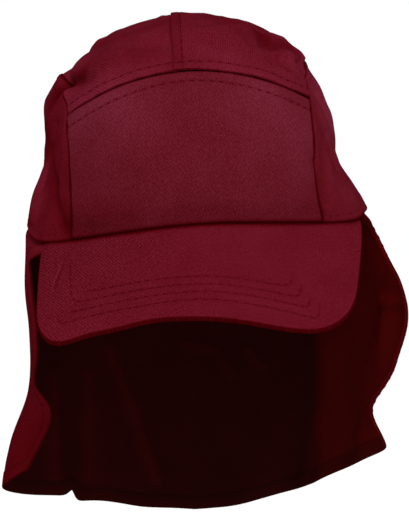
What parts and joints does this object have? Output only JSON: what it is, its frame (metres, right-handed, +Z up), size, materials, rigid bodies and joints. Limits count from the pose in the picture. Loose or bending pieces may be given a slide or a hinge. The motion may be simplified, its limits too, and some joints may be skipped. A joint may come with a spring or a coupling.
{
  "type": "legionnaire cap",
  "caption": "Soft cloth cap with a domed crown, a stiff front panel, a curved stitched peak and a long neck flap hanging from the rim.",
  "frame": {"origin": "centre of the head opening, level with the rim at its sides and back: where the cap sits on a head", "axes": "+Z up through the crown, -Y forwards along the peak, +X towards the wearer's left"},
  "size_m": [0.2404, 0.2455, 0.3121],
  "materials": {
    "cloth": "matte cotton twill",
    "flap_cloth": "matte cotton twill, lighter weight"
  },
  "bodies": {
    "root": {"front_panel": "cloth", "top_panel_right": "cloth", "top_panel_left": "cloth", "side_panel_right": "cloth", "side_panel_left": "cloth", "peak": "cloth", "neck_flap": "flap_cloth"}
  },
  "joints": []
}
